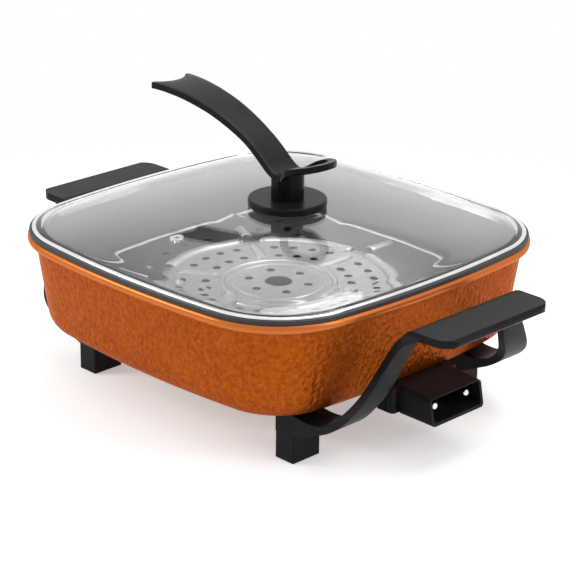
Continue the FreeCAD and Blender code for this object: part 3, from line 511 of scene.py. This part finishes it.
def loft(name, profile, materials, slots=None, closed=False, angle=None):
    """Mesh through one outline for each profile point, capped where open, creased past an angle."""
    rings = [[(x * MM, y * MM, z * MM) for x, y in outline(half, corner, side)]
             for half, corner, side, z in profile]
    slots = slots or [0] * len(rings)
    count = len(rings[0])
    faces = []
    marks = []
    for i in range(len(rings) if closed else len(rings) - 1):
        a, b = i * count, ((i + 1) % len(rings)) * count
        for j in range(count):
            k = (j + 1) % count
            faces.append((a + j, a + k, b + k, b + j))
            marks.append(slots[i])
    if not closed:
        faces.append(tuple(reversed(range(count))))
        faces.append(tuple(range((len(rings) - 1) * count, len(rings) * count)))
        marks += [slots[0], slots[-1]]
    mesh = bpy.data.meshes.new(name)
    mesh.from_pydata([p for ring in rings for p in ring], [], faces)
    mesh.polygons.foreach_set("material_index", marks)
    obj = placed(name, mesh, materials)
    if angle:
        crease(obj, angle)
    return obj


# Pan

def wall_half(z):
    """Half width of the pan's outer wall at a height."""
    return WALL_HALF - (WALL_TOP - z) * WALL_DRAFT


def wall_corner(half):
    """Corner radius of the pan's outer wall where it has a half width."""
    return WALL_CORNER - CORNER_FOLLOW * (WALL_HALF - half)


def pan_outside():
    """Pan's section from the middle of its base up the wall."""
    half = wall_half(BASE_Z)
    lean = math.atan(WALL_DRAFT)
    cx = half + BASE_ROUNDING * WALL_DRAFT - BASE_ROUNDING / math.cos(lean)
    cz = BASE_Z + BASE_ROUNDING
    corner = wall_corner(half)
    points = [(cx * k, (corner - half + cx) * k, WALL_SIDE * k, BASE_Z) for k in BASE_RINGS]
    for x, z in arc_points(cx, cz, BASE_ROUNDING, -90.0, -math.degrees(lean), BASE_STEPS):
        points.append((x, corner - (half - x), WALL_SIDE - (WALL_HALF - x), z))
    for i in range(1, WALL_STEPS + 1):
        z = cz + (WALL_TOP - cz) * i / WALL_STEPS
        half = wall_half(z)
        points.append((half, wall_corner(half), WALL_SIDE - (WALL_HALF - half), z))
    return points


def pan_lip():
    """Pan's section over its lip."""
    r = LIP_ROUNDING
    points = [(LIP_HALF - r - LIP_SHELF, WALL_TOP + LIP_SHELF_RISE)]
    points += arc_points(LIP_HALF - r, WALL_TOP + r, r, -90.0, 0.0, LIP_STEPS)
    points += arc_points(LIP_HALF - r, LIP_TOP - r, r, 0.0, 90.0, LIP_STEPS)
    return [parallel(x, z) for x, z in points]


def pan_inside():
    """Pan's section down the inner wall, over the rack's ledge and to the middle of the floor."""
    r = MOUTH_ROUNDING
    mouth = wall_half(LIP_TOP) - WALL_THICKNESS
    corner = WALL_CORNER - MOUTH_CORNER_CUT
    edge = arc_points(mouth + r, LIP_TOP - r, r, 90.0, 180.0, MOUTH_STEPS)
    points = [(x, corner, WALL_SIDE, z) for x, z in edge]
    for i in range(1, WALL_STEPS + 1):
        k = i / WALL_STEPS
        z = LIP_TOP - r + (LEDGE_Z - LIP_TOP + r) * k
        points.append((wall_half(z) - WALL_THICKNESS, corner - INNER_CORNER_DROP * k, WALL_SIDE, z))
    ledge = wall_half(LEDGE_Z) - WALL_THICKNESS
    well = ledge - LEDGE_WIDTH
    points.append((ledge - LEDGE_FILLET, WALL_CORNER - LEDGE_CORNER_CUT, WALL_SIDE,
                   LEDGE_Z - LEDGE_FALL / 2.0))
    r = NOSE_ROUNDING
    nose = arc_points(well + r, LEDGE_Z - LEDGE_FALL - r, r, 90.0, 180.0, NOSE_STEPS)
    points += [(x, WALL_CORNER - WELL_CORNER_CUT, WALL_SIDE, z) for x, z in nose]
    r = WELL_ROUNDING
    low = well - (LEDGE_Z - FLOOR_Z) * WELL_DRAFT
    corner = WALL_CORNER - FLOOR_CORNER_CUT
    bend = arc_points(low - r, FLOOR_Z + r, r, 0.0, -90.0, WELL_STEPS)
    points += [(x, corner - (low - x), WALL_SIDE, z) for x, z in bend]
    points += [((low - r) * k, (corner - r) * k, WALL_SIDE * k, FLOOR_Z) for k in reversed(BASE_RINGS)]
    return points


def pan(enamel):
    """Pan with enamel outside and grey coating inside."""
    coated = pan_outside() + pan_lip()
    inside = pan_inside()
    slots = [0] * len(coated) + [1] * len(inside)
    return loft("pan_shell", coated + inside, [enamel, grey_nonstick()], slots, angle=PAN_CREASE)


def add_box(built, middle, size):
    """Box in an open bmesh, in mm."""
    place = Matrix.Translation([v * MM for v in middle])
    scale = Matrix.Diagonal([v * MM for v in size] + [1.0])
    bmesh.ops.create_cube(built, size=1.0, matrix=place @ scale)


def pan_underside(enamel):
    """Element rib, terminal lug and foot bosses under the pan's base."""
    built = bmesh.new()
    inner, outer = ELEMENT_RIB
    section = [(inner, RIB_BOTTOM), (outer, RIB_BOTTOM), (outer, UNDER_TOP), (inner, UNDER_TOP)]
    corners = [built.verts.new((x * MM, 0.0, z * MM)) for x, z in section]
    edges = [built.edges.new((corners[i - 1], corners[i])) for i in range(len(corners))]
    bmesh.ops.spin(built, geom=corners + edges, cent=(0, 0, 0), axis=(0, 0, 1), angle=2.0 * math.pi,
                   steps=ELEMENT_RIB_STEPS, use_merge=True)
    near, far = LUG_REACH
    add_box(built, ((near + far) / 2.0, 0.0, (RIB_BOTTOM + UNDER_TOP) / 2.0),
            (far - near, 2.0 * LUG_HALF_Y, UNDER_TOP - RIB_BOTTOM))
    for x, y in BOSS_PLACES:
        middle = Matrix.Translation((x * MM, y * MM, (BOSS_BOTTOM + UNDER_TOP) / 2.0 * MM))
        bmesh.ops.create_cone(built, cap_ends=True, segments=BOSS_STEPS, radius1=BOSS_R * MM,
                              radius2=BOSS_R * MM, depth=(UNDER_TOP - BOSS_BOTTOM) * MM, matrix=middle)
    bmesh.ops.recalc_face_normals(built, faces=built.faces[:])
    sharp = [e for e in built.edges if e.calc_face_angle(0.0) > UNDER_SHARP]
    bmesh.ops.bevel(built, geom=sharp, offset=UNDER_ROUNDING * MM, segments=BEVEL_STEPS, profile=0.5,
                    affect="EDGES")
    obj = built_piece("pan_underside", built, enamel)
    crease(obj, PAN_CREASE)
    return obj


# Lid

def through(a, b, c, d, t):
    """Value on a smooth curve between b and c, at t from 0 to 1."""
    return 0.5 * (2 * b + (c - a) * t + (2 * a - 5 * b + 4 * c - d) * t * t
                  + (3 * b - a - 3 * c + d) * t ** 3)


def dome_rings(drop):
    """Outlines up the dome, with smooth steps between the given ones."""
    rings = []
    last = len(DOME) - 1
    for i in range(last):
        near = [DOME[max(i - 1, 0)], DOME[i], DOME[i + 1], DOME[min(i + 2, last)]]
        for step in range(DOME_STEPS):
            rings.append(tuple(through(*row, step / DOME_STEPS) for row in zip(*near)))
    half, rise, corner, side = DOME[-1]
    rings.append(DOME[-1])
    rings += [(half * k, rise + CROWN_RISE * (1 - k), corner * k, side * k) for k in CROWN_RINGS]
    return [(half, corner, side, GLASS_HIGH + rise - drop) for half, rise, corner, side in rings]


def glass():
    """Domed glass with a flat ground edge."""
    over = dome_rings(0.0)
    under = [ring for ring in reversed(dome_rings(GLASS_DROP)) if ring[3] > GLASS_LOW + GLASS_UNDER_CLEAR]
    half, corner, side, _ = under[-1]
    edge = [(half + GLASS_FOOT, corner, side, GLASS_LOW)]
    edge += [parallel(GLASS_EDGE_HALF - GLASS_CHAMFER, GLASS_LOW)]
    edge += [parallel(GLASS_EDGE_HALF, z) for z in (GLASS_LOW + GLASS_CHAMFER, GLASS_HIGH - GLASS_CHAMFER)]
    edge += [parallel(GLASS_EDGE_HALF - GLASS_CHAMFER, GLASS_HIGH)]
    return loft("glass_dome", under + edge + over, [clear_glass()])


def lip_loft(name, section, made):
    """Closed section carried round parallel to the pan's lip."""
    return loft(name, [parallel(x, z) for x, z in section], [made], closed=True, angle=LID_CREASE)


def rim():
    """Folded steel channel round the glass, with a skirt inside the pan's mouth."""
    skirt_inner = SKIRT_HALF - RIM_SHEET
    channel = RIM_HALF - RIM_SHEET - GLASS_PLAY
    low, high = GLASS_LOW - GLASS_PLAY, GLASS_HIGH + GLASS_PLAY
    section = [(skirt_inner, SKIRT_LOW), (SKIRT_HALF, SKIRT_LOW), (SKIRT_HALF, RIM_LOW)]
    r = RIM_LOW_FOLD
    section += arc_points(RIM_HALF - r, RIM_LOW + r, r, -90.0, 0.0, FOLD_STEPS)
    r = RIM_TOP_FOLD
    section += arc_points(RIM_HALF - r, RIM_TOP - r, r, 0.0, 90.0, RIM_TOP_STEPS)
    r = RIM_INNER_FOLD
    section += arc_points(RIM_INNER + r, RIM_TOP - r, r, 90.0, 180.0, FOLD_STEPS)
    section += [(RIM_INNER, high), (channel, high), (channel, low), (skirt_inner, low)]
    return lip_loft("rim_band", section, metal("polished_steel", (0.86, 0.86, 0.86), 0.12, 60.0, 0.02))


def gasket(made):
    """Soft seal with an upturned edge outside."""
    inner = SKIRT_HALF + SEAL_SKIRT_PLAY
    bottom = LIP_TOP + SEAL_PLAY
    side = RIM_HALF + SEAL_SIDE_PLAY
    r = SEAL_LOW_ROUNDING
    section = [(inner, bottom), (SEAL_HALF - r, bottom)]
    section += arc_points(SEAL_HALF - r, bottom + r, r, -90.0, 0.0, FOLD_STEPS)
    r = SEAL_TOP_ROUNDING
    section += arc_points(SEAL_HALF - r, SEAL_TOP - r, r, 0.0, 90.0, SEAL_TOP_STEPS)
    section += [(side + SEAL_BEVEL[0], SEAL_TOP), (side, SEAL_TOP - SEAL_BEVEL[1])]
    section += [(side, RIM_LOW - SEAL_PLAY), (inner, RIM_LOW - SEAL_PLAY)]
    return lip_loft("seal_ring", section, made)


# Rack and terminal block

def strip(points, half_width, height, closed=False, level=RACK_TOP):
    """Rows of a half-round bead along a path in plan, tapered at open ends."""
    count = len(points)
    rows = []
    for i, (x, y) in enumerate(points):
        x0, y0 = points[i - 1] if closed or i else points[0]
        x1, y1 = points[(i + 1) % count] if closed or i < count - 1 else points[i]
        length = math.hypot(x1 - x0, y1 - y0)
        nx, ny = -(y1 - y0) / length, (x1 - x0) / length
        near = min(1.0, min(i, count - 1 - i) * BEAD_SPACING / BEAD_TAPER)
        k = 1.0 if closed else math.sqrt(near * (2.0 - near) + BEAD_TIP)
        row = []
        for step in range(BEAD_STEPS + 1):
            a = math.pi * step / BEAD_STEPS
            off = half_width * k * math.cos(a)
            row.append((x + nx * off, y + ny * off, level - BEAD_SINK + height * k * math.sin(a)))
        rows.append(row)
    return rows, closed


def arc_path(radius, start, sweep):
    """Points along an arc in plan, angles in degrees."""
    count = max(ARC_STEPS, int(math.radians(sweep) * radius / BEAD_SPACING))
    angles = [math.radians(start + sweep * i / count) for i in range(count + 1)]
    return [(radius * math.cos(a), radius * math.sin(a)) for a in angles]


def rib_path(turn, inner, outer):
    """Points along a radial rib in plan."""
    count = int((outer - inner) / BEAD_SPACING)
    a = math.radians(turn)
    radii = [inner + (outer - inner) * i / count for i in range(count + 1)]
    return [(r * math.cos(a), r * math.sin(a)) for r in radii]


def relief_bands():
    """Every raised band of the rack: ring, ribs, hub circles and edge beads."""
    gap = math.degrees(RING_GAP / RING_R)
    spacing = 360.0 / RIB_COUNT
    bands = []
    for k in range(RIB_COUNT):
        turn = FIRST_RIB + spacing * k
        ring = arc_path(RING_R, turn + gap, spacing - 2.0 * gap)
        bands.append(strip(ring, RING_HALF_WIDTH, RING_HEIGHT))
        bands += [strip(rib_path(turn, inner, outer), RIB_HALF_WIDTH, RIB_HEIGHT)
                  for inner, outer in RIB_REACHES]
    for radius, half_width, height in HUB_RINGS:
        bands.append(strip(arc_path(radius, 0.0, 360.0)[:-1], half_width, height, True))
    for half, corner, level in EDGE_BEADS:
        path = outline(half, corner, SIDE_RADIUS - (LIP_HALF - half))
        bands.append(strip(path, EDGE_HALF_WIDTH, EDGE_HEIGHT, True, level))
    return bands


def rack_relief(made):
    """Pressed relief on the rack's plate, in one mesh."""
    verts, faces = [], []
    for rows, closed in relief_bands():
        base = len(verts)
        wide = len(rows[0])
        verts += [(x * MM, y * MM, z * MM) for row in rows for x, y, z in row]
        for i in range(len(rows) if closed else len(rows) - 1):
            a, b = base + i * wide, base + (i + 1) % len(rows) * wide
            for k in range(wide):
                m = (k + 1) % wide
                faces.append((a + k, a + m, b + m, b + k))
        if not closed:
            faces.append(tuple(base + k for k in reversed(range(wide))))
            faces.append(tuple(base + (len(rows) - 1) * wide + k for k in range(wide)))
    mesh = bpy.data.meshes.new("rack_relief")
    mesh.from_pydata(verts, [], faces)
    obj = placed("rack_relief", mesh, [made])
    crease(obj, RELIEF_CREASE)
    return obj


def block_ribs(made):
    """Moulded upright ribs on both ends of the terminal block."""
    built = bmesh.new()
    for side in (-1, 1):
        for x in BLOCK_RIBS:
            add_box(built, (x, side * BLOCK_END_Y, BLOCK_RIB_Z), BLOCK_RIB_SIZE)
    bmesh.ops.bevel(built, geom=built.edges[:], offset=BLOCK_RIB_ROUNDING * MM, segments=BEVEL_STEPS,
                    profile=0.5, affect="EDGES")
    return built_piece("block_ribs", built, made)


# CAD nodes

def paint(obj, made):
    """One material over a CAD node."""
    obj.data.materials.clear()
    obj.data.materials.append(made)
    obj.data.polygons.foreach_set("material_index", [0] * len(obj.data.polygons))


def soften(obj, width):
    """Small rounding on a CAD node's sharp edges."""
    weld = obj.modifiers.new("weld", "WELD")
    weld.merge_threshold = WELD_REACH
    bevel = obj.modifiers.new("soften", "BEVEL")
    bevel.width = width * MM
    bevel.segments = BEVEL_STEPS
    bevel.limit_method = "ANGLE"
    bevel.angle_limit = math.radians(SOFT_ANGLE)
    bevel.harden_normals = True
    bevel.use_clamp_overlap = True


# Stage

def camera():
    """Camera at the photograph's place, turned by its small roll."""
    az, el = math.radians(CAMERA_AZIMUTH), math.radians(CAMERA_ELEVATION)
    back = Vector((math.sin(az) * math.cos(el), -math.cos(az) * math.cos(el), math.sin(el)))
    right = (-back).cross(Vector((0, 0, 1))).normalized()
    up = right.cross(-back)
    c, s = math.cos(math.radians(CAMERA_ROLL)), math.sin(math.radians(CAMERA_ROLL))
    right, up = right * c + up * s, up * c - right * s
    data = bpy.data.cameras.new("camera")
    data.lens = CAMERA_LENS
    data.sensor_width = SENSOR
    data.clip_end = CLIP_END
    obj = bpy.data.objects.new("camera", data)
    turn = Matrix((right, up, back)).transposed().to_4x4()
    obj.matrix_world = Matrix.Translation(CAMERA_PLACE) @ turn
    bpy.context.scene.collection.objects.link(obj)
    bpy.context.scene.camera = obj


def area_light(name, place, aim_height, size, power):
    """Soft rectangular light aimed at a height on the upright axis."""
    data = bpy.data.lights.new(name, "AREA")
    data.shape = "RECTANGLE"
    data.size, data.size_y = size
    data.energy = power
    obj = bpy.data.objects.new(name, data)
    obj.location = place
    aim = Vector(place) - Vector((0, 0, aim_height))
    obj.rotation_euler = aim.to_track_quat("Z", "Y").to_euler()
    bpy.context.scene.collection.objects.link(obj)


def backdrop_rays(tree):
    """1 for rays that see the backdrop straight on, in metal or through glass, and 0 for light."""
    rays = new_node(tree, "LightPath")
    total = rays.outputs["Is Camera Ray"]
    for name in ("Is Glossy Ray", "Is Transmission Ray"):
        total = combine(tree, "MAXIMUM", total, rays.outputs[name])
    return total


def mixed(tree, factor, a, b, out):
    """Output that goes from shader a to shader b by a socket."""
    mix = new_node(tree, "MixShader")
    tree.links.new(factor, mix.inputs["Fac"])
    tree.links.new(a, mix.inputs[1])
    tree.links.new(b, mix.inputs[2])
    tree.links.new(mix.outputs["Shader"], out.inputs["Surface"])


def floor():
    """Round pale floor that shows shadows and fades out into the white backdrop."""
    made = bpy.data.materials.new("floor_white")
    made.use_nodes = True
    tree = made.node_tree
    tree.nodes.clear()
    pale = new_node(tree, "BsdfDiffuse", Color=FLOOR_COLOUR)
    lift = new_node(tree, "Emission")
    both = new_node(tree, "AddShader")
    tree.links.new(combine(tree, "MULTIPLY", backdrop_rays(tree), FLOOR_LIFT), lift.inputs["Strength"])
    tree.links.new(pale.outputs["BSDF"], both.inputs[0])
    tree.links.new(lift.outputs["Emission"], both.inputs[1])
    place = new_node(tree, "TexCoord")
    fade = span(tree, length_of(tree, place.outputs["Object"]), *FLOOR_FADE)
    fade.interpolation_type = "SMOOTHSTEP"
    clear = new_node(tree, "BsdfTransparent")
    out = new_node(tree, "OutputMaterial")
    mixed(tree, fade.outputs["Result"], both.outputs["Shader"], clear.outputs["BSDF"], out)
    bpy.ops.mesh.primitive_circle_add(vertices=FLOOR_STEPS, radius=FLOOR_RADIUS, fill_type="NGON",
                                      location=(0, 0, -FLOOR_DROP))
    obj = bpy.context.object
    obj.name = "floor"
    obj.data.materials.append(made)


def world():
    """Surround that is brighter above, and pure white to the camera, in metal and through glass."""
    made = bpy.data.worlds.new("white")
    made.use_nodes = True
    tree = made.node_tree
    tree.nodes.clear()
    place = new_node(tree, "TexCoord")
    split = new_node(tree, "SeparateXYZ")
    tree.links.new(place.outputs["Generated"], split.inputs["Vector"])
    height = span(tree, split.outputs["Z"], -1.0, 1.0).outputs["Result"]
    glow = new_node(tree, "Background")
    seen = new_node(tree, "Background", Strength=1.0, Color=(1, 1, 1, 1))
    tree.links.new(ramp(tree, height, SURROUND), glow.inputs["Color"])
    out = new_node(tree, "OutputWorld")
    mixed(tree, backdrop_rays(tree), glow.outputs["Background"], seen.outputs["Background"], out)
    bpy.context.scene.world = made


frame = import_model()
nodes = frame["nodes"]
bpy.context.scene.view_settings.view_transform = "Standard"

world()
camera()
floor()
for lamp in LAMPS:
    area_light(*lamp)

silicone = matt("black_silicone", 0.55, 800.0, (0.012, 0.012, 0.012), (0.02, 0.02, 0.02), 0.1)
white_ceramic = matt("ceramic", 0.7, 1200.0, (0.62, 0.60, 0.55), (0.75, 0.73, 0.68), 0.2)
satin = bakelite("satin_black", 0.38, 0.10)
fine = bakelite("fine_black", 0.30, 0.06)
dull_steel = metal("dull_steel", (0.30, 0.28, 0.27), 0.45, 300.0, 0.15)
bright_steel = metal("bright_steel", (0.75, 0.75, 0.76), 0.16, 900.0, 0.04)
# Painted highlight: the relief gets a brighter copy of the rack's steel, so its bands read as light lines
relief_steel_painted_bright = metal("relief_steel_painted_bright", (0.60, 0.60, 0.60), 0.40, 900.0, 0.01)
brass = metal("turned_brass", (0.78, 0.56, 0.25), 0.25, 600.0, 0.08, (1, 1, 8))

finishes = [
    (satin, FEET + SIDE_HANDLES + BLOCKS),
    (fine, ["knob_disc", "lid_handle"]),
    (dull_steel, ["heating_element", "probe_tube"]),
    (bright_steel, ["terminal_pins", "socket_screws", "foot_screws", "vent_eyelet", "lid_washer",
                    "lid_screw"]),
    (white_ceramic, ["pin_insulators"]),
    (silicone, ["disc_seal"]),
    (brass, ["post_insert"]),
    (rack_sheet(), ["steam_rack"]),
]
for made, names in finishes:
    for name in names:
        paint(nodes[name], made)
for name in SIDE_HANDLES + ["lid_handle"]:
    soften(nodes[name], HANDLE_SOFTNESS)
for name in FEET + BLOCKS:
    soften(nodes[name], BLOCK_SOFTNESS)

enamel = copper_enamel()
pan_piece = pan(enamel)
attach(pan_piece, "base")
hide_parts("pan_body")

underside = pan_underside(enamel)
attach(underside, "base")

ribs = block_ribs(satin)
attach(ribs, "base")

relief = rack_relief(relief_steel_painted_bright)
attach(relief, "rack")

for piece, node, slot in ((glass(), "lid_glass", "glass"), (rim(), "lid_rim", "rim"),
                          (gasket(silicone), "lid_gasket", "silicone")):
    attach(piece, "lid")
    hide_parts(node)
